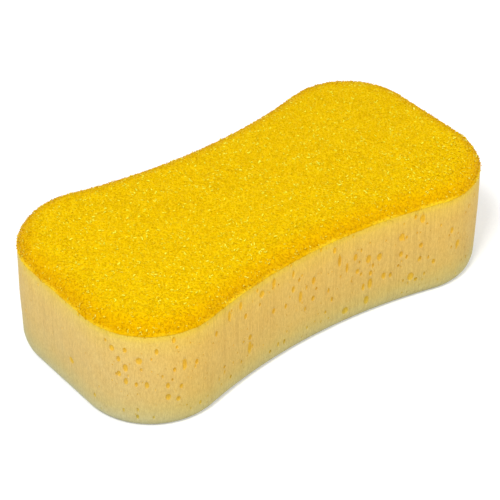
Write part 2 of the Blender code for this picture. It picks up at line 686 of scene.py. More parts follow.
def colour_ramp(
    fill: TreeFiller, value: NodeSocket, stops: tuple[tuple[float, Colour], ...]
) -> NodeSocket:
    """Turn a value into a colour.

    Args:
        fill: The filler of the material's tree.
        value: The value's socket.
        stops: The colour at each value, in rising order.

    Returns:
        The colour's socket.
    """
    ramp = fill.add("ShaderNodeValToRGB", {"Fac": value})
    while len(ramp.color_ramp.elements) < len(stops):
        ramp.color_ramp.elements.new(1.0)
    for element, (position, colour) in zip(ramp.color_ramp.elements, stops):
        element.position = position
        element.color = opaque(colour)
    return ramp.outputs["Color"]


@dataclass(frozen=True)
class FoamFinish:
    """Cream open-cell foam with upright cut marks; painted shade deepens its pores to orange and
    darkens it towards the foot, and painted light makes its ends paler.
    """

    # Painted shade by height: darker, greyer and greener towards the foot; the colour is also
    # yellower near the top.
    painted_shade_tones: tuple[tuple[float, Colour], ...] = (
        (0.0 * MM, (0.43, 0.42, 0.21)),
        (4.0 * MM, (0.575, 0.512, 0.213)),
        (10.0 * MM, (0.635, 0.498, 0.153)),
        (16.0 * MM, (0.70, 0.50, 0.139)),
        (28.0 * MM, (0.747, 0.51, 0.135)),
        (40.0 * MM, (0.78, 0.525, 0.126)),
        (48.0 * MM, (0.818, 0.563, 0.106)),
        (51.6 * MM, (0.85, 0.604, 0.056)),
    )
    sole_tone: Colour = (0.72, 0.505, 0.15)
    # Painted light: towards the ends the foam turns paler and bluer, as if lit more there.
    end_painted_light: Colour = (0.985, 1.05, 1.42)
    end_light_band: tuple[float, float] = (80.0 * MM, 108.0 * MM)
    warm: Colour = (0.98, 0.86, 0.62)
    # Darkens the cut streaks and blade marks, and puts painted shade in the cells' hollows.
    shade: Colour = (0.83, 0.80, 0.76)
    # Painted shade in the pores: deeper in, the foam loses green and blue and turns orange.
    pore: Colour = (1.04, 0.92, 0.3)
    roughness: float = 0.9
    gloss: float = 0.15
    sheen: float = 0.12
    sheen_roughness: float = 0.35
    sheen_tint: Colour = (0.75, 1.0, 1.0)
    clouds_per_metre: float = 140.0
    cloud_strength: float = 0.35
    cells_per_metre: float = 1900.0
    cell_bump: float = 0.35
    cell_bump_depth: float = 0.12 * MM
    cell_window: tuple[float, float] = (0.4, 1.0)
    cell_shade_strength: float = 0.6
    streaks_per_metre: float = 1500.0
    streak_flatness: float = 0.3
    streak_window: tuple[float, float] = (0.35, 0.65)
    streak_strength: float = 0.8
    streak_relief: float = 1.5
    pore_shade_band: tuple[float, float] = (0.05 * MM, 0.4 * MM)
    blade_marks_per_metre: float = 900.0
    blade_flatness: float = 0.02
    blade_window: tuple[float, float] = (0.48, 0.62)
    blade_strength: float = 0.48
    blade_patches_per_metre: float = 28.0
    blade_patch_window: tuple[float, float] = (0.4, 0.6)
    blade_patch_range: tuple[float, float] = (0.2, 1.0)

    def build(self, groups: ShaderGroups) -> Material:
        """Make the material.

        Args:
            groups: The shared shader groups.

        Returns:
            The foam's material.
        """
        fill, shader, material = surface_material("cream_foam")
        place = fill.add("ShaderNodeTexCoord").outputs["Object"]
        parts = fill.add("ShaderNodeSeparateXYZ", {"Vector": place}).outputs
        cloud = fill.add(
            "ShaderNodeGroup",
            {
                "Coordinates": place,
                "Scale": self.clouds_per_metre,
                "Low": 0.0,
                "High": self.cloud_strength,
            },
            node_tree=groups.mottle,
        ).outputs["Value"]
        streak, blade = (
            fill.add(
                "ShaderNodeGroup",
                {"Coordinates": place, "Streaks per Metre": per_metre, "Flatness": flatness},
                node_tree=groups.streaks,
            ).outputs["Value"]
            for per_metre, flatness in (
                (self.streaks_per_metre, self.streak_flatness),
                (self.blade_marks_per_metre, self.blade_flatness),
            )
        )
        cells = fill.add(
            "ShaderNodeGroup",
            {"Coordinates": place, "Cells per Metre": self.cells_per_metre},
            node_tree=groups.cells,
        )
        patches = fill.noise(place, self.blade_patches_per_metre, detail=1.0)
        patch = fill.mapped(patches.outputs["Fac"], self.blade_patch_window, self.blade_patch_range)
        mark = fill.mapped(blade, self.blade_window, (0.0, self.blade_strength))
        # Painted shade by height everywhere but the flat underside, which keeps the foam's own
        # colour.
        colour = fill.mixed(
            fill.carried(Attribute.SOLE), self.shaded_tone_at(fill, parts["Z"]), opaque(self.sole_tone)
        )
        off_middle = fill.maths("ABSOLUTE", parts["X"])
        pore_depth = fill.carried(Attribute.PORE_DEPTH)
        hollow = cells.outputs["Hollow"]
        # Each share multiplies the colour: painted light on the ends, warm clouds, darker cut
        # marks, and painted shade in the pores and in the cells' hollows.
        for share, tone in (
            (fill.mapped(off_middle, self.end_light_band, (0.0, 1.0)), self.end_painted_light),
            (cloud, self.warm),
            (fill.mapped(streak, self.streak_window, (0.0, self.streak_strength)), self.shade),
            (fill.maths("MULTIPLY", patch, mark), self.shade),
            (fill.mapped(pore_depth, self.pore_shade_band, (0.0, 1.0)), self.pore),
            (fill.mapped(hollow, self.cell_window, (0.0, self.cell_shade_strength)), self.shade),
        ):
            colour = fill.mixed(share, colour, opaque(tone), "MULTIPLY")
        fill.tree.links.new(colour, shader.inputs["Base Color"])
        set_plain(
            shader,
            {
                "Roughness": self.roughness,
                "Specular IOR Level": self.gloss,
                "Sheen Weight": self.sheen,
                "Sheen Roughness": self.sheen_roughness,
                "Sheen Tint": opaque(self.sheen_tint),
            },
        )
        relief = fill.maths("MULTIPLY_ADD", streak, self.streak_relief, cells.outputs["Height"])
        bump = fill.add(
            "ShaderNodeBump",
            {"Strength": self.cell_bump, "Distance": self.cell_bump_depth, "Height": relief},
        )
        fill.tree.links.new(bump.outputs["Normal"], shader.inputs["Normal"])
        return material

    def shaded_tone_at(self, fill: TreeFiller, height: NodeSocket) -> NodeSocket:
        """The foam's colour at a height, with painted shade darker towards the foot.

        Args:
            fill: The filler of the material's tree.
            height: The height's socket.

        Returns:
            The colour's socket.
        """
        top = self.painted_shade_tones[-1][0]
        share = fill.mapped(height, (0.0, top), (0.0, 1.0))
        stops = tuple((level / top, colour) for level, colour in self.painted_shade_tones)
        return colour_ramp(fill, share, stops)


@dataclass(frozen=True)
class FibreFinish:
    """Glossy yellow fibre whose tone varies from fibre to fibre, with deeper gold low in the mat as
    painted shade and the palest lemon tips as painted glints.
    """

    name: str
    # The deep tone, used low in the mat, is partly painted shade; the palest tone is a painted
    # glint on a few tips.
    deep: Colour = (0.78, 0.48, 0.0)
    golden: Colour = (0.84, 0.548, 0.0)
    lemon: Colour = (0.88, 0.63, 0.0)
    pale_glint: Colour = (1.0, 0.98, 0.07)
    # Painted shade: the rounded rim of the mat is darker and more orange.
    rim: Colour = (0.905, 0.76, 0.8)
    # Painted shade on the lip band at the mat's foot, in patches with a brighter yellow.
    lip_shade: Colour = (0.76, 0.425, 0.0)
    lip_bright: Colour = (0.87, 0.60, 0.02)
    lip_band: tuple[float, float] = (52.6 * MM, 53.5 * MM)
    lip_strength: float = 0.9
    lip_patches_per_metre: float = 55.0
    lip_patch_window: tuple[float, float] = (0.45, 0.6)
    golden_at: float = 0.25
    lemon_at: float = 0.7
    plain_values: tuple[float, float] = (0.1, 0.75)
    gleam: Colour = (1.0, 0.9, 0.02)
    roughness: float = 0.25
    gloss: float = 0.08
    coat_band: tuple[float, float] = (0.75, 1.0)
    coat_strength: float = 0.5
    coat_roughness: float = 0.12
    speckle: float = 0.9
    speckles_per_metre: float = 2600.0
    from_tint: bool = True

    def build(self, groups: ShaderGroups) -> Material:
        """Make the material.

        Args:
            groups: The shared shader groups.

        Returns:
            The fibre's material.
        """
        fill, shader, material = surface_material(self.name)
        place = fill.add("ShaderNodeTexCoord").outputs["Object"]
        height = fill.add("ShaderNodeSeparateXYZ", {"Vector": place}).outputs["Z"]
        speckles = fill.add(
            "ShaderNodeGroup",
            {"Coordinates": place, "Scale": self.speckles_per_metre, "Low": 0.0, "High": 1.0},
            node_tree=groups.mottle,
        ).outputs["Value"]
        if self.from_tint:
            value = fill.maths("MULTIPLY_ADD", speckles, self.speckle, fill.carried(Attribute.TINT))
            value = fill.maths("SUBTRACT", value, self.speckle / 2)
            coat = fill.mapped(value, self.coat_band, (0.0, self.coat_strength))
            fill.tree.links.new(coat, shader.inputs["Coat Weight"])
            set_plain(shader, {"Coat Roughness": self.coat_roughness})
        else:
            value = fill.mapped(speckles, (0.0, 1.0), self.plain_values)
        stops = (
            (0.0, self.deep),
            (self.golden_at, self.golden),
            (self.lemon_at, self.lemon),
            (1.0, self.pale_glint),
        )
        colour = colour_ramp(fill, value, stops)
        # Painted shade on the rim, by the rim share.
        colour = fill.mixed(fill.carried(Attribute.RIM), colour, opaque(self.rim), "MULTIPLY")
        # The lip band: painted shade in patches with a brighter yellow, low on the mat.
        patches = fill.noise(place, self.lip_patches_per_metre, detail=1.0)
        patch = fill.mapped(patches.outputs["Fac"], self.lip_patch_window, (0.0, 1.0))
        lip = fill.mixed(patch, opaque(self.lip_shade), opaque(self.lip_bright))
        lowness = fill.mapped(height, self.lip_band, (self.lip_strength, 0.0))
        colour = fill.mixed(lowness, colour, lip)
        fill.tree.links.new(colour, shader.inputs["Base Color"])
        set_plain(
            shader,
            {
                "Roughness": self.roughness,
                "Specular IOR Level": self.gloss,
                "Specular Tint": opaque(self.gleam),
            },
        )
        return material


@dataclass(frozen=True)
class Pore:
    """One pore of a cut side: along and up in percent, then width and height in millimetres."""

    along: float
    up: float
    width: float
    tall: float


NEAR_SIDE_PORES = (
    Pore(-94, 39, 3.0, 3.4),
    Pore(-76, 84, 2.2, 3.0),
    Pore(-72, 66, 2.0, 4.0),
    Pore(-74, 74, 1.7, 3.2),
    Pore(-72, 85, 1.5, 2.6),
    Pore(-74, 58, 1.8, 3.2),
    Pore(-68, 75, 2.6, 3.6),
    Pore(-72, 51, 1.7, 3.8),
    Pore(-69, 49, 1.4, 2.6),
    Pore(-66, 49, 1.8, 3.6),
    Pore(-63, 85, 1.5, 3.2),
    Pore(-60, 47, 1.8, 3.2),
    Pore(-60, 34, 2.4, 3.4),
    Pore(-58, 95, 1.5, 3.4),
    Pore(-57, 30, 2.0, 2.8),
    Pore(-58, 63, 1.3, 2.6),
    Pore(-56, 43, 1.8, 3.0),
    Pore(-55, 66, 2.0, 6.4),
    Pore(-51, 64, 1.6, 3.0),
    Pore(-43, 80, 1.8, 3.0),
    Pore(-37, 88, 2.0, 6.0),
    Pore(-32, 90, 1.9, 4.6),
    Pore(-30, 75, 1.8, 3.0),
    Pore(-28, 48, 2.0, 3.0),
    Pore(-28, 36, 2.4, 7.0),
    Pore(-23, 87, 3.0, 3.8),
    Pore(-18, 91, 2.0, 4.8),
    Pore(-18, 60, 2.0, 3.0),
    Pore(-13, 57, 1.5, 3.0),
    Pore(-10, 71, 2.0, 4.0),
    Pore(-10, 88, 1.5, 4.0),
    Pore(-7, 58, 2.2, 7.0),
    Pore(-2, 69, 2.0, 4.0),
    Pore(-2, 49, 1.8, 3.0),
    Pore(6, 91, 1.8, 3.4),
    Pore(8, 77, 1.8, 6.0),
    Pore(11, 65, 1.6, 6.0),
    Pore(11, 16, 3.4, 3.8),
    Pore(14, 73, 2.0, 4.0),
    Pore(15, 56, 2.0, 3.0),
    Pore(16.5, 51, 1.3, 2.6),
    Pore(17.5, 35, 1.6, 4.0),
    Pore(19, 18, 2.6, 4.8),
    Pore(19, 65, 2.6, 4.8),
    Pore(20, 36, 2.4, 6.0),
    Pore(20, 48, 1.8, 3.0),
    Pore(23, 63, 2.6, 4.0),
    Pore(25, 39, 2.2, 3.8),
    Pore(27.5, 37, 1.6, 3.0),
    Pore(31, 57, 2.0, 3.8),
    Pore(31, 76, 3.2, 4.8),
    Pore(35, 27, 3.0, 4.4),
    Pore(37, 22, 1.8, 2.0),
    Pore(38, 60, 2.0, 3.0),
    Pore(38, 45, 1.5, 3.0),
    Pore(38, 90, 2.6, 4.8),
    Pore(35.5, 94, 1.4, 2.8),
    Pore(43, 37, 1.8, 3.0),
    Pore(49, 66, 1.8, 3.8),
    Pore(52, 47, 2.8, 4.6),
)


@dataclass
class FoamBlock:
    """The foam block: a swept wall, its pores and cut marks, and a flat underside."""

    outline: HourglassOutline
    height: float
    finish: FoamFinish = field(default_factory=FoamFinish)
    foot_inset: float = 3.8 * MM
    foot_rise: float = 6.5 * MM
    foot_steps: int = 9
    swell: float = 0.3 * MM
    swell_bias: float = 1.3
    pinch: float = 0.05 * MM
    pinch_bias: int = 8
    column_spacing: float = 0.75 * MM
    row_spacing: float = 2.6 * MM
    lift: float = 0.28 * MM
    underside_shares: int = 9
    top_shares: tuple[float, float] = (0.9, 0.0)
    bare_top: float = 2.0 * MM
    bare_end: float = 0.85
    end_start: float = 0.40
    end_blend: float = 0.09
    end_breadth: float = 0.3
    end_spread: float = 1.6
    sole_rise: float = 0.1 * MM
    sole_pores: float = 0.5
    sole_margin: float = 5.0 * MM
    pore_depth: float = 1.5 * MM
    pore_sink: float = 0.48
    pore_widening: tuple[float, float] = (1.22, 1.15)
    pore_spacing: float = 5.2 * MM
    pore_heights: tuple[float, float] = (2.6 * MM, 6.0 * MM)
    pore_slenderness: tuple[float, float] = (0.48, 0.85)
    pore_land: float = 1.8 * MM
    pore_tries: int = 400
    near_quarters: int = 3
    far_pores: int = 34
    far_reach: float = 0.8
    end_pores: int = 4
    end_reach: float = 0.2
    lumps_per_metre: float = 45.0
    unevenness: float = 0.5 * MM
    grooves_per_metre: float = 650.0
    groove_depth: float = 0.3 * MM
    groove_flatness: float = 0.06
    small_pores_per_square_metre: float = 30000.0
    smallest_pore: float = 0.5 * MM
    small_pore_spread: float = 1.1 * MM
    small_pore_skew: float = 3.0
    small_pore_heights: tuple[float, float] = (1.1, 2.4)
    small_pore_depths: tuple[float, float] = (0.5, 0.9)
    ragged_edge: float = 0.35 * MM
    rags_per_metre: float = 900.0
    main_roundness: int = 3
    small_roundness: int = 2
    weld_distance: float = 0.005 * MM
    sharp_angle: float = math.radians(50)
    pore_seed: int = 21
    seed: int = 33

    def profile(self) -> list[tuple[float, float]]:
        """Outward distance from the outline and height of each row of the wall, going up."""
        points = []
        for step in range(self.foot_steps + 1):
            angle = math.pi / 2 * step / self.foot_steps
            out = self.foot_inset * (math.sin(angle) - 1)
            points.append((out, self.foot_rise * (1 - math.cos(angle))))
        top = self.height + self.lift
        rows = math.ceil((top - self.foot_rise) / self.row_spacing)
        for step in range(1, rows + 1):
            share = step / rows
            out = self.swell * math.sin(math.pi * share**self.swell_bias)
            out -= self.pinch * share**self.pinch_bias
            points.append((out, self.foot_rise + share * (top - self.foot_rise)))
        return points

    def body(self) -> Object:
        """The uncut block, with the share of pores that each part of it gets."""
        places, normals = self.outline.columns(self.column_spacing)
        wall = wall_rings(places, normals, self.profile())
        shares = np.linspace(0.0, 1.0, self.underside_shares + 1)
        under = folded_rings(places, wall[0][:, :2], 0.0, shares[:-1], self.outline)
        edge = wall[-1]
        top = folded_rings(places, edge[:, :2], edge[0, 2], np.array(self.top_shares), self.outline)
        mesh = closed_loft("foam_uncut", under + wall + top)
        points = points_of(mesh)
        along, across, up = np.abs(points[:, 0]), np.abs(points[:, 1]), points[:, 2]
        length, width = self.outline.length, self.outline.lobe_width
        on_wall = (up > self.foot_rise / 2) & (up < self.height - self.bare_top)
        end = np.clip((along - self.end_start * length) / (self.end_blend * length), 0, 1)
        near_end = end * np.clip(self.end_spread - across / (self.end_breadth * width), 0, 1)
        on_sole = up < self.sole_rise
        under_share = np.where(on_sole, self.sole_pores, 0.0)
        share = np.where(on_wall, 1.0 - self.bare_end * near_end, under_share)
        inwards = inward_distance(points, places) - self.foot_inset
        sole = np.clip(inwards / self.sole_margin, 0.0, 1.0)
        store(mesh, Attribute.SOLE, np.where(on_sole, sole, 0.0))
        store(mesh, Attribute.PORE_SHARE, share)
        store(mesh, Attribute.WALL, on_wall.astype(float))
        return new_object("foam_uncut", mesh)

    def side_at(self, height: float) -> float:
        """How far the wall stands out at a height."""
        rows = self.profile()
        return float(np.interp(height, [row[1] for row in rows], [row[0] for row in rows]))

    def scattered(
        self, middle: float, reach: float, count: int, taken: list[tuple], chance: random.Random
    ) -> list[tuple[float, float, float, float]]:
        """Main pores at random round a place on the outline, clear of the ones already taken.

        Args:
            middle: The place's distance along the outline.
            reach: How far from it a pore may lie.
            count: How many pores are wanted.
            taken: The pores that are already there.
            chance: The source of random numbers.

        Returns:
            Distance along the outline, height, width and pore height of each new pore.
        """
        low = self.foot_rise + self.pore_heights[1] / 2
        high = self.height - self.pore_land - self.pore_heights[1] / 2
        found = []
        for _ in range(self.pore_tries):
            if len(found) == count:
                break
            along = middle + chance.uniform(-reach, reach)
            height = chance.uniform(low, high)
            tall = chance.uniform(*self.pore_heights)
            width = tall * chance.uniform(*self.pore_slenderness)
            crowded = any(
                max(abs(other[0] - along), abs(other[1] - height)) < self.pore_spacing
                for other in taken + found
            )
            if not crowded:
                found.append((along, height, width, tall))
        return found

    def pore_rows(self) -> list[tuple[float, float, float, float]]:
        """Distance along the outline, height, width and pore height of every main pore."""
        quarter = self.outline.quarter()
        rows = [
            (
                quarter * (self.near_quarters + pore.along * PERCENT),
                self.height * pore.up * PERCENT,
                pore.width * MM,
                pore.tall * MM,
            )
            for pore in NEAR_SIDE_PORES
        ]
        chance = random.Random(self.pore_seed)
        rows += self.scattered(quarter, quarter * self.far_reach, self.far_pores, rows, chance)
        rows += self.scattered(0.0, quarter * self.end_reach, self.end_pores, rows, chance)
        return rows

    def pore_places(self) -> Object:
        """A point for each main pore, with its outward direction and half its size."""
        rows = np.array(self.pore_rows())
        places, normals = self.outline.at(rows[:, 0])
        out = np.array([self.side_at(height) for height in rows[:, 1]])
        out += self.pore_depth * (1 - self.pore_sink)
        centres = np.hstack([places + out[:, None] * normals, rows[:, 1:2]])
        mesh = bpy.data.meshes.new("pore_places")
        mesh.from_pydata(centres.tolist(), [], [])
        store(mesh, Attribute.OUTWARD, np.hstack([normals, np.zeros((len(rows), 1))]))
        depth = np.full(len(rows), self.pore_depth)
        widen = 0.5 / math.sqrt(1 - (1 - self.pore_sink) ** 2)
        wide = widen * self.pore_widening[0] * rows[:, 2]
        tall = widen * self.pore_widening[1] * rows[:, 3]
        store(mesh, Attribute.HALF_SIZE, np.stack([wide, tall, depth], axis=1))
        return new_object("pore_places", mesh)

    def upright(self, fill: TreeFiller, outward: NodeSocket) -> NodeSocket:
        """A rotation that turns Z outwards and Y as far up as it goes.

        Args:
            fill: The filler of the tree.
            outward: The outward direction.

        Returns:
            The rotation's socket.
        """
        facing = fill.add("FunctionNodeAlignRotationToVector", {"Vector": outward}, axis="Z")
        turned = fill.add(
            "FunctionNodeAlignRotationToVector",
            {"Rotation": facing.outputs[0], "Vector": (0.0, 0.0, 1.0)},
            axis="Y",
            pivot_axis="Z",
        )
        return turned.outputs[0]

    def cutting_tree(self) -> NodeTree:
        """The tree that roughens the block's wall and cuts its pores."""
        tree = bpy.data.node_groups.new("cut_foam", "GeometryNodeTree")
        given = group_input(
            tree,
            {
                "Geometry": "NodeSocketGeometry",
                "Pore Places": "NodeSocketObject",
                "Lumps per Metre": "NodeSocketFloat",
                "Unevenness": "NodeSocketFloat",
                "Groove Depth": "NodeSocketFloat",
                "Grooves per Metre": "NodeSocketFloat",
                "Small Pores per Square Metre": "NodeSocketFloat",
                "Smallest Pore": "NodeSocketFloat",
                "Small Pore Spread": "NodeSocketFloat",
                "Ragged Edge": "NodeSocketFloat",
                "Rags per Metre": "NodeSocketFloat",
                "Weld Distance": "NodeSocketFloat",
                "Seed": "NodeSocketInt",
                "Material": "NodeSocketMaterial",
            },
        )
        fill = TreeFiller(tree)
        place = fill.add("GeometryNodeInputPosition").outputs[0]
        normal = fill.add("GeometryNodeInputNormal").outputs[0]
        wall = fill.attribute(Attribute.WALL)
        lumps = fill.noise(place, given["Lumps per Metre"], detail=1.0)
        lump = fill.maths("SUBTRACT", lumps.outputs["Fac"], 0.5)
        squash = (1.0, 1.0, self.groove_flatness)
        flattened = fill.add("ShaderNodeVectorMath", {0: place, 1: squash}, operation="MULTIPLY")
        cut = fill.ripple(flattened.outputs[0], given["Grooves per Metre"], given["Groove Depth"])
        out = fill.maths("MULTIPLY_ADD", lump, given["Unevenness"], cut)
        out = fill.maths("MULTIPLY", out, wall)
        offset = fill.scaled(normal, out)
        uneven = fill.add(
            "GeometryNodeSetPosition", {"Geometry": given["Geometry"], "Offset": offset}
        ).outputs[0]
        cutters = [self._main_cutters(fill, given), self._small_cutters(fill, given, uneven)]
        difference = fill.add(
            "GeometryNodeMeshBoolean", {"Mesh 1": uneven}, operation="DIFFERENCE", solver="MANIFOLD"
        )
        fill.join(cutters, difference.inputs["Mesh 2"])
        welded = fill.add(
            "GeometryNodeMergeByDistance",
            {"Geometry": difference.outputs["Mesh"], "Distance": given["Weld Distance"]},
        )
        nearest = fill.add("GeometryNodeProximity", {"Target": uneven}, target_element="FACES")
        sole = fill.add(
            "GeometryNodeSampleNearestSurface",
            {"Mesh": uneven, "Value": fill.attribute(Attribute.SOLE)},
            data_type="FLOAT",
        )
        kept = welded.outputs["Geometry"]
        for attribute, value in (
            (Attribute.PORE_DEPTH, nearest.outputs["Distance"]),
            (Attribute.SOLE, sole.outputs["Value"]),
        ):
            kept = fill.add(
                "GeometryNodeStoreNamedAttribute",
                {"Geometry": kept, "Name": attribute.value, "Value": value},
                data_type="FLOAT",
                domain="POINT",
            ).outputs[0]
        tree_end(fill, kept, given["Material"])
        return tree

    def _main_cutters(self, fill: TreeFiller, given: dict[str, NodeSocket]) -> NodeSocket:
        """Ragged ellipsoids at the main pores.

        Args:
            fill: The filler of the tree.
            given: The tree's inputs.

        Returns:
            Their geometry.
        """
        places = fill.add("GeometryNodeObjectInfo", {"Object": given["Pore Places"]})
        ball = fill.add(
            "GeometryNodeMeshIcoSphere", {"Radius": 1.0, "Subdivisions": self.main_roundness}
        ).outputs["Mesh"]
        outward = fill.attribute(Attribute.OUTWARD, "FLOAT_VECTOR")
        size = fill.attribute(Attribute.HALF_SIZE, "FLOAT_VECTOR")
        balls = fill.add(
            "GeometryNodeInstanceOnPoints",
            {
                "Points": places.outputs["Geometry"],
                "Instance": ball,
                "Rotation": self.upright(fill, outward),
                "Scale": size,
            },
        )
        whole = fill.add("GeometryNodeRealizeInstances", {"Geometry": balls.outputs[0]})
        place = fill.add("GeometryNodeInputPosition").outputs[0]
        shake = fill.noise(place, given["Rags per Metre"], detail=1.0).outputs["Color"]
        shake = fill.add(
            "ShaderNodeVectorMath", {0: shake, 1: (0.5, 0.5, 0.5)}, operation="SUBTRACT"
        )
        offset = fill.scaled(shake.outputs[0], given["Ragged Edge"])
        inputs = {"Geometry": whole.outputs[0], "Offset": offset}
        return fill.add("GeometryNodeSetPosition", inputs).outputs[0]

    def _small_cutters(
        self,
        fill: TreeFiller,
        given: dict[str, NodeSocket],
        surface: NodeSocket,
    ) -> NodeSocket:
        """Small ellipsoids scattered over the cut faces.

        Args:
            fill: The filler of the tree.
            given: The tree's inputs.
            surface: The geometry that they are scattered on.

        Returns:
            Their instances.
        """
        share = fill.attribute(Attribute.PORE_SHARE)
        scattered = fill.add(
            "GeometryNodeDistributePointsOnFaces",
            {
                "Mesh": surface,
                "Density": fill.maths("MULTIPLY", given["Small Pores per Square Metre"], share),
                "Seed": given["Seed"],
            },
            distribute_method="RANDOM",
        )
        draw = fill.chance(0.0, 1.0, given["Seed"])
        skewed = fill.maths("POWER", draw, self.small_pore_skew)
        spread, smallest = given["Small Pore Spread"], given["Smallest Pore"]
        width = fill.maths("MULTIPLY_ADD", skewed, spread, smallest)
        tall, deep = (
            fill.maths("MULTIPLY", width, fill.chance(*shares, seed))
            for shares, seed in (
                (self.small_pore_heights, Draw.PORE_HEIGHT),
                (self.small_pore_depths, Draw.PORE_DEPTH),
            )
        )
        size = fill.add("ShaderNodeCombineXYZ", {"X": width, "Y": tall, "Z": deep})
        ball = fill.add(
            "GeometryNodeMeshIcoSphere", {"Radius": 0.5, "Subdivisions": self.small_roundness}
        ).outputs["Mesh"]
        balls = fill.add(
            "GeometryNodeInstanceOnPoints",
            {
                "Points": scattered.outputs["Points"],
                "Instance": ball,
                "Rotation": self.upright(fill, scattered.outputs["Normal"]),
                "Scale": size.outputs[0],
            },
        )
        return balls.outputs[0]

    def build(self, groups: ShaderGroups) -> Object:
        """Make the foam block and put it in its node's place.

        Args:
            groups: The shared shader groups.

        Returns:
            The foam block.
        """
        body = self.body()
        places = self.pore_places()
        block = applied(
            "foam_block",
            body,
            self.cutting_tree(),
            {
                "Pore Places": places,
                "Lumps per Metre": self.lumps_per_metre,
                "Unevenness": self.unevenness,
                "Groove Depth": self.groove_depth,
                "Grooves per Metre": self.grooves_per_metre,
                "Small Pores per Square Metre": self.small_pores_per_square_metre,
                "Smallest Pore": self.smallest_pore,
                "Small Pore Spread": self.small_pore_spread,
                "Ragged Edge": self.ragged_edge,
                "Rags per Metre": self.rags_per_metre,
                "Weld Distance": self.weld_distance,
                "Seed": self.seed,
                "Material": self.finish.build(groups),
            },
        )
        for helper in (body, places):
            bpy.data.objects.remove(helper, do_unlink=True)
        dissolve_idle_points(block.data)
        block.data.set_sharp_from_angle(angle=self.sharp_angle)
        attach(block, BODY)
        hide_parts(FOAM_NODE)
        return block


@dataclass(frozen=True)
class CurlLayer:
    """One layer of curled fibres on the mat. The resolution is in points for each turn."""

    name: str
    spacing: float
    radius: float
    thickness: float
    turns: float
    tilt: float
    lift: float
    tints: tuple[float, float]
    seed: int
    rise: float = 0.15 * MM
    resolution: int = 5
    skew: float = 1.0
    clustering: float = 0.0
    growth: float = 0.0


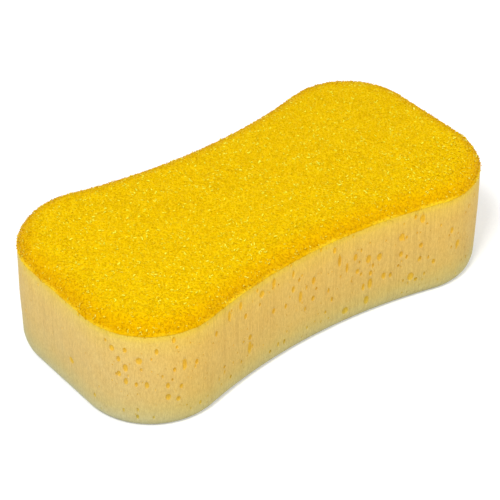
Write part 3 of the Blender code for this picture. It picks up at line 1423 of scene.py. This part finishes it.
@dataclass
class FibreMat:
    """The scouring layer: a rough base with a rounded rim under layers of curled fibres."""

    outline: HourglassOutline
    bottom: float
    top: float
    base_finish: FibreFinish = field(
        default_factory=lambda: FibreFinish("yellow_fibre_base", roughness=0.5, from_tint=False)
    )
    curl_finish: FibreFinish = field(default_factory=lambda: FibreFinish("yellow_fibre"))
    rim_radius: float = 7.8 * MM
    lip: float = 1.1 * MM
    lip_swell: float = 0.12 * MM
    lip_middle: float = 0.5
    lip_pinch: float = 0.3
    rim_steps: int = 14
    inset: float = 0.9 * MM
    rim_reach: tuple[float, float] = (2.0 * MM, 11.5 * MM)
    rim_bias: float = 1.3
    rim_sink: float = 0.06 * MM
    bare_lip: float = 0.1
    cover_blend: float = 0.5
    column_spacing: float = 1.0 * MM
    ring_spacing: float = 1.0 * MM
    under_shares: tuple[float, float] = (0.0, 0.85)
    coarse_height: float = 0.1 * MM
    coarse_lumps_per_metre: float = 120.0
    fine_height: float = 0.08 * MM
    fine_lumps_per_metre: float = 600.0
    edge_waviness: float = 1.0 * MM
    edge_waves_per_metre: float = 260.0
    densest: float = 2000000.0
    clusters_per_metre: float = 220.0
    cluster_window: tuple[float, float] = (0.35, 0.65)
    cluster_range: tuple[float, float] = (-0.8, 0.5)
    curl_scales: tuple[float, float] = (0.7, 1.3)
    curl_lengths: tuple[float, float] = (0.6, 0.8)
    curl_starts: tuple[float, float] = (1.25, -0.4)
    curl_ends: tuple[float, float] = (0.6, 0.5)
    curl_rises: tuple[float, float] = (0.5, 0.5)
    tube_sides: int = 3
    variants: int = 6
    layers: tuple[CurlLayer, ...] = (
        CurlLayer(
            name="fibres_low",
            spacing=1.4 * MM,
            radius=0.55 * MM,
            thickness=0.36 * MM,
            turns=0.8,
            tilt=0.1,
            lift=-0.08 * MM,
            tints=(0.28, 0.38),
            seed=11,
            rise=0.2 * MM,
        ),
        CurlLayer(
            name="fibres_middle",
            spacing=1.3 * MM,
            radius=0.45 * MM,
            thickness=0.32 * MM,
            turns=0.7,
            tilt=0.2,
            lift=-0.02 * MM,
            tints=(0.3, 0.42),
            seed=12,
        ),
        CurlLayer(
            name="fibres_high",
            spacing=0.85 * MM,
            radius=0.5 * MM,
            thickness=0.34 * MM,
            turns=0.2,
            tilt=0.3,
            lift=0.2 * MM,
            # The few highest tints reach the palest tone: painted glints on a few tips.
            tints=(0.38, 1.65),
            seed=13,
            resolution=8,
            skew=7.0,
            clustering=1.0,
            growth=0.6,
        ),
    )

    def profile(self) -> list[tuple[float, float]]:
        """Outward distance from the outline and height of each row of the side, going up."""
        start = self.bottom + self.lip
        rise = self.top - self.inset - start
        points = [
            (0.0, self.bottom),
            (self.lip_swell, self.bottom + self.lip_middle * self.lip),
            (-self.lip_pinch * self.inset, start),
        ]
        for step in range(1, self.rim_steps + 1):
            angle = math.pi / 2 * step / self.rim_steps
            out = self.rim_radius * (math.cos(angle) - 1) - self.inset
            points.append((out, start + rise * math.sin(angle)))
        return points

    def base(self) -> Object:
        """The smooth base, with the share of fibres that each part of it gets."""
        places, normals = self.outline.columns(self.column_spacing)
        side = wall_rings(places, normals, self.profile())
        rings = math.ceil(self.outline.lobe_width / 2 / self.ring_spacing)
        inwards = np.linspace(1.0, 0.0, rings + 1)[1:]
        top = folded_rings(places, side[-1][:, :2], side[-1][0, 2], inwards, self.outline)
        outwards = np.array(self.under_shares)
        under = folded_rings(places, side[0][:, :2], self.bottom, outwards, self.outline)
        mesh = closed_loft("mat_smooth", under + side + top)
        points = points_of(mesh)
        above = points[:, 2] - self.bottom - self.bare_lip * self.lip
        store(mesh, Attribute.COVER, np.clip(above / (self.cover_blend * self.lip), 0.0, 1.0))
        # The rim share sets the painted rim shade, the sinking of curls at the rim and the edge
        # waves.
        store(mesh, Attribute.RIM, self.rim_share(points, places))
        return new_object("mat_smooth", mesh)

    def rim_share(self, points: np.ndarray, places: np.ndarray) -> np.ndarray:
        """How much each point belongs to the rim, by its distance in from the edge.

        Args:
            points: The mesh's points.
            places: The outline's places.

        Returns:
            One at the edge, falling to nothing further in.
        """
        near, far = self.rim_reach
        share = np.clip((far - inward_distance(points, places)) / (far - near), 0.0, 1.0)
        return share**self.rim_bias

    def relief_tree(self) -> NodeTree:
        """The tree that gives the base its matted relief."""
        tree = bpy.data.node_groups.new("matted_relief", "GeometryNodeTree")
        given = group_input(
            tree,
            {
                "Geometry": "NodeSocketGeometry",
                "Coarse Height": "NodeSocketFloat",
                "Coarse Lumps per Metre": "NodeSocketFloat",
                "Fine Height": "NodeSocketFloat",
                "Fine Lumps per Metre": "NodeSocketFloat",
                "Edge Waviness": "NodeSocketFloat",
                "Edge Waves per Metre": "NodeSocketFloat",
                "Material": "NodeSocketMaterial",
            },
        )
        fill = TreeFiller(tree)
        place = fill.add("GeometryNodeInputPosition").outputs[0]
        normal = fill.add("GeometryNodeInputNormal").outputs[0]
        coarse, fine = (
            fill.ripple(place, given[f"{size} Lumps per Metre"], given[f"{size} Height"])
            for size in ("Coarse", "Fine")
        )
        cover = fill.attribute(Attribute.COVER)
        out = fill.maths("MULTIPLY", fill.maths("ADD", coarse, fine), cover)
        wave = fill.ripple(place, given["Edge Waves per Metre"], given["Edge Waviness"], detail=2.0)
        bare = fill.maths("SUBTRACT", 1.0, cover)
        edge = fill.maths("MULTIPLY", bare, fill.attribute(Attribute.RIM))
        out = fill.maths("MULTIPLY_ADD", wave, edge, out)
        level = fill.add(
            "ShaderNodeVectorMath", {0: normal, 1: (1.0, 1.0, 0.0)}, operation="MULTIPLY"
        )
        covered = fill.maths("GREATER_THAN", cover, 0.0)
        facing = fill.add(
            "GeometryNodeSwitch",
            {"Switch": covered, "False": level.outputs[0], "True": normal},
            input_type="VECTOR",
        )
        offset = fill.scaled(facing.outputs[0], out)
        inputs = {"Geometry": given["Geometry"], "Offset": offset}
        rough = fill.add("GeometryNodeSetPosition", inputs)
        tree_end(fill, rough.outputs[0], given["Material"])
        return tree

    def curl_tree(self) -> NodeTree:
        """The tree that scatters curled fibres over the base."""
        tree = bpy.data.node_groups.new("curled_fibres", "GeometryNodeTree")
        given = group_input(
            tree,
            {
                "Geometry": "NodeSocketGeometry",
                "Spacing": "NodeSocketFloat",
                "Curl Radius": "NodeSocketFloat",
                "Thickness": "NodeSocketFloat",
                "Turns": "NodeSocketFloat",
                "Points per Turn": "NodeSocketInt",
                "Rise": "NodeSocketFloat",
                "Tilt": "NodeSocketFloat",
                "Lift": "NodeSocketFloat",
                "Rim Sink": "NodeSocketFloat",
                "Lowest Tint": "NodeSocketFloat",
                "Highest Tint": "NodeSocketFloat",
                "Tint Skew": "NodeSocketFloat",
                "Clustering": "NodeSocketFloat",
                "Clusters per Metre": "NodeSocketFloat",
                "Growth": "NodeSocketFloat",
                "Seed": "NodeSocketInt",
                "Material": "NodeSocketMaterial",
            },
        )
        fill = TreeFiller(tree)
        scattered = fill.add(
            "GeometryNodeDistributePointsOnFaces",
            {
                "Mesh": given["Geometry"],
                "Distance Min": given["Spacing"],
                "Density Max": self.densest,
                "Density Factor": fill.attribute(Attribute.COVER),
                "Seed": given["Seed"],
            },
            distribute_method="POISSON",
        )
        curls = fill.add("GeometryNodeJoinGeometry")
        shapes = [self._curl(fill, given, number) for number in range(self.variants)]
        fill.join(shapes, curls.inputs[0])
        spin = fill.chance(0.0, 2 * math.pi, given["Seed"])
        lean = fill.maths("MULTIPLY", fill.chance(-1.0, 1.0, Draw.CURL_LEAN), given["Tilt"])
        roll = fill.maths("MULTIPLY", fill.chance(-1.0, 1.0, Draw.CURL_ROLL), given["Tilt"])
        angles = fill.add("ShaderNodeCombineXYZ", {"X": lean, "Y": roll, "Z": spin}).outputs[0]
        turn = fill.add("FunctionNodeEulerToRotation", {"Euler": angles}).outputs[0]
        facing = fill.add(
            "FunctionNodeRotateRotation",
            {"Rotation": scattered.outputs["Rotation"], "Rotate By": turn},
            rotation_space="LOCAL",
        )
        pick = fill.add(
            "FunctionNodeRandomValue",
            {"Min_002": 0, "Max_002": self.variants - 1, "Seed": Draw.CURL_SHAPE},
            data_type="INT",
        )
        draw = fill.maths("POWER", fill.chance(0.0, 1.0, Draw.CURL_TINT), given["Tint Skew"])
        where = fill.add("GeometryNodeInputPosition").outputs[0]
        cluster = fill.noise(where, given["Clusters per Metre"], detail=1.0).outputs["Fac"]
        cluster = fill.mapped(cluster, self.cluster_window, self.cluster_range)
        gathered = fill.maths("MULTIPLY_ADD", cluster, given["Clustering"], 1.0)
        draw = fill.maths("MULTIPLY", draw, gathered)
        growth = fill.maths("MULTIPLY_ADD", draw, given["Growth"], 1.0)
        scale = fill.maths("MULTIPLY", fill.chance(*self.curl_scales, Draw.CURL_SCALE), growth)
        placed = fill.add(
            "GeometryNodeInstanceOnPoints",
            {
                "Points": scattered.outputs["Points"],
                "Instance": curls.outputs[0],
                "Pick Instance": True,
                "Instance Index": pick.outputs[2],
                "Rotation": facing.outputs[0],
                "Scale": scale,
            },
        )
        sunk = fill.maths("MULTIPLY", fill.attribute(Attribute.RIM), given["Rim Sink"])
        raised = fill.maths("SUBTRACT", given["Lift"], sunk)
        lift = fill.add("ShaderNodeCombineXYZ", {"Z": raised}).outputs[0]
        lifted = fill.add(
            "GeometryNodeTranslateInstances",
            {"Instances": placed.outputs[0], "Translation": lift, "Local Space": True},
        )
        tints = given["Lowest Tint"], given["Highest Tint"]
        tinted = fill.add(
            "GeometryNodeStoreNamedAttribute",
            {
                "Geometry": lifted.outputs[0],
                "Name": Attribute.TINT.value,
                "Value": fill.mapped(draw, (0.0, 1.0), tints),
            },
            data_type="FLOAT",
            domain="INSTANCE",
        )
        tree_end(fill, tinted.outputs[0], given["Material"])
        return tree

    def _curl(self, fill: TreeFiller, given: dict[str, NodeSocket], number: int) -> NodeSocket:
        """One shape of curled fibre.

        Args:
            fill: The filler of the tree.
            given: The tree's inputs.
            number: The shape's number, which sets how long and how open it is.

        Returns:
            The shape, as an instance.
        """
        share = number / (self.variants - 1)
        turns, start, end, rise = (
            fill.maths("MULTIPLY", given[name], least + step * part)
            for name, (least, step), part in (
                ("Turns", self.curl_lengths, share),
                ("Curl Radius", self.curl_starts, share),
                ("Curl Radius", self.curl_ends, ((number * 2) % 3) / 2),
                ("Rise", self.curl_rises, number % 3),
            )
        )
        spiral = fill.add(
            "GeometryNodeCurveSpiral",
            {
                "Resolution": given["Points per Turn"],
                "Rotations": turns,
                "Start Radius": start,
                "End Radius": end,
                "Height": rise,
                "Reverse": number % 2 == 1,
            },
        )
        ring = fill.add(
            "GeometryNodeCurvePrimitiveCircle",
            {
                "Resolution": self.tube_sides,
                "Radius": fill.maths("MULTIPLY", given["Thickness"], 0.5),
            },
        )
        tube = fill.add(
            "GeometryNodeCurveToMesh",
            {"Curve": spiral.outputs[0], "Profile Curve": ring.outputs[0], "Fill Caps": True},
        )
        return fill.add("GeometryNodeGeometryToInstance", {"Geometry": tube.outputs[0]}).outputs[0]

    def build(self, groups: ShaderGroups) -> list[Object]:
        """Make the mat's base and its fibres, and put them in their node's place.

        Args:
            groups: The shared shader groups.

        Returns:
            The base and the layers of fibres.
        """
        smooth = self.base()
        base = applied(
            "fibre_mat",
            smooth,
            self.relief_tree(),
            {
                "Coarse Height": self.coarse_height,
                "Coarse Lumps per Metre": self.coarse_lumps_per_metre,
                "Fine Height": self.fine_height,
                "Fine Lumps per Metre": self.fine_lumps_per_metre,
                "Edge Waviness": self.edge_waviness,
                "Edge Waves per Metre": self.edge_waves_per_metre,
                "Material": self.base_finish.build(groups),
            },
        )
        tree = self.curl_tree()
        material = self.curl_finish.build(groups)
        pieces = [base]
        for layer in self.layers:
            pieces.append(
                applied(
                    layer.name,
                    smooth,
                    tree,
                    {
                        "Spacing": layer.spacing,
                        "Curl Radius": layer.radius,
                        "Thickness": layer.thickness,
                        "Turns": layer.turns,
                        "Points per Turn": layer.resolution,
                        "Rise": layer.rise,
                        "Tilt": layer.tilt,
                        "Lift": layer.lift,
                        "Rim Sink": self.rim_sink,
                        "Lowest Tint": layer.tints[0],
                        "Highest Tint": layer.tints[1],
                        "Tint Skew": layer.skew,
                        "Clustering": layer.clustering,
                        "Clusters per Metre": self.clusters_per_metre,
                        "Growth": layer.growth,
                        "Seed": layer.seed,
                        "Material": material,
                    },
                )
            )
        bpy.data.objects.remove(smooth, do_unlink=True)
        for piece in pieces:
            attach(piece, BODY)
            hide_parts(FIBRE_NODE)
        return pieces


@dataclass(frozen=True)
class Lamp:
    """A square soft lamp: where it hangs, the side of its square and its power in watts."""

    name: str
    place: tuple[float, float, float]
    size: float
    power: float


@dataclass
class Studio:
    """The camera of the photograph, a white floor and soft light."""

    azimuth: float = -38.85
    elevation: float = 37.36
    roll: float = 0.40
    distance: float = 936.5 * MM
    focal_pixels: float = 1993.4
    frame_pixels: float = 500.0
    target: tuple[float, float, float] = (-0.3 * MM, 2.9 * MM, 22.0 * MM)
    sensor: float = 36.0
    clip: tuple[float, float] = (0.05, 20.0)
    floor_size: float = 6.0
    floor_white: float = 0.88
    floor_roughness: float = 0.9
    floor_glow: float = 0.24
    world_strength: float = 0.61
    lamps: tuple[Lamp, ...] = (
        Lamp("key_lamp", (-0.9, -0.5, 1.5), size=0.4, power=18.0),
        Lamp("fill_lamp", (0.9, -1.3, 0.9), size=1.2, power=7.0),
    )

    def camera(self) -> None:
        """Place the camera and make it the scene's own."""
        azimuth, elevation, roll = (
            math.radians(angle) for angle in (self.azimuth, self.elevation, self.roll)
        )
        back = Vector(
            (
                math.sin(azimuth) * math.cos(elevation),
                -math.cos(azimuth) * math.cos(elevation),
                math.sin(elevation),
            )
        )
        level = (-back).cross(Vector((0.0, 0.0, 1.0))).normalized()
        upward = level.cross(-back)
        right = math.cos(roll) * level + math.sin(roll) * upward
        above = -math.sin(roll) * level + math.cos(roll) * upward
        data = bpy.data.cameras.new("photo_camera")
        data.sensor_width = self.sensor
        data.lens = self.focal_pixels / self.frame_pixels * self.sensor
        data.clip_start, data.clip_end = self.clip
        camera = bpy.data.objects.new("photo_camera", data)
        turn = Matrix((right, above, back)).transposed().to_4x4()
        camera.matrix_world = Matrix.Translation(Vector(self.target) + back * self.distance) @ turn
        bpy.context.scene.collection.objects.link(camera)
        bpy.context.scene.camera = camera

    def floor(self) -> None:
        """A white floor that still takes the sponge's shadow."""
        mesh = bpy.data.meshes.new("floor")
        half = self.floor_size / 2
        square = ((-half, -half), (half, -half), (half, half), (-half, half))
        mesh.from_pydata([(x, y, 0.0) for x, y in square], [], [(0, 1, 2, 3)])
        floor = new_object("floor", mesh)
        fill, shader, material = surface_material("white_floor")
        set_plain(
            shader,
            {
                "Base Color": opaque((self.floor_white,) * 3),
                "Roughness": self.floor_roughness,
                "Specular IOR Level": 0.0,
            },
        )
        seen = fill.add("ShaderNodeLightPath").outputs["Is Camera Ray"]
        glow = fill.add("ShaderNodeEmission", {"Color": opaque((1.0, 1.0, 1.0))})
        fill.tree.links.new(fill.maths("MULTIPLY", seen, self.floor_glow), glow.inputs["Strength"])
        both = fill.add("ShaderNodeAddShader", {0: shader.outputs[0], 1: glow.outputs[0]})
        output = fill.tree.nodes["Material Output"]
        fill.tree.links.new(both.outputs[0], output.inputs["Surface"])
        mesh.materials.append(material)

    def hang(self, lamp: Lamp) -> None:
        """Hang a lamp so that it faces the sponge.

        Args:
            lamp: The lamp.
        """
        data = bpy.data.lights.new(lamp.name, "AREA")
        data.size = lamp.size
        data.energy = lamp.power
        made = bpy.data.objects.new(lamp.name, data)
        turn = (Vector(self.target) - Vector(lamp.place)).to_track_quat("-Z", "Y")
        made.matrix_world = Matrix.Translation(lamp.place) @ turn.to_matrix().to_4x4()
        bpy.context.scene.collection.objects.link(made)

    def world(self) -> None:
        """White behind everything, and an even, dimmer light from all round."""
        world = bpy.data.worlds.new("studio")
        bpy.context.scene.world = world
        world.use_nodes = True
        fill = TreeFiller(world.node_tree)
        path = fill.add("ShaderNodeLightPath")
        seen = fill.maths("MAXIMUM", path.outputs["Is Camera Ray"], path.outputs["Is Glossy Ray"])
        seen = fill.maths("MAXIMUM", seen, path.outputs["Is Transmission Ray"])
        strength = fill.mapped(seen, (0.0, 1.0), (self.world_strength, 1.0))
        ground = world.node_tree.nodes["Background"]
        ground.inputs["Color"].default_value = opaque((1.0, 1.0, 1.0))
        fill.tree.links.new(strength, ground.inputs["Strength"])

    def build(self) -> None:
        """Set up the whole studio."""
        self.camera()
        self.floor()
        self.world()
        for lamp in self.lamps:
            self.hang(lamp)
        bpy.context.scene.view_settings.view_transform = "Standard"


def main() -> None:
    """Build the sponge and the studio."""
    logging.basicConfig(level=logging.INFO, format="%(name)s: %(message)s")
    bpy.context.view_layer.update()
    foam_low, foam_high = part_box(FOAM_NODE)
    mat_low, mat_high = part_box(FIBRE_NODE)
    outline = HourglassOutline(
        length=mat_high.x - mat_low.x,
        lobe_width=mat_high.y - mat_low.y,
        waist_depth=WAIST_DEPTH,
        corner_radius=CORNER_RADIUS,
    )
    groups = ShaderGroups()
    block = FoamBlock(outline, height=foam_high.z - foam_low.z).build(groups)
    LOG.info("%s: %d triangles", block.name, triangles(block))
    mat = FibreMat(outline, bottom=mat_low.z, top=mat_high.z)
    for piece in mat.build(groups):
        LOG.info("%s: %d triangles", piece.name, triangles(piece))
    Studio().build()


if __name__ == "__main__":
    main()
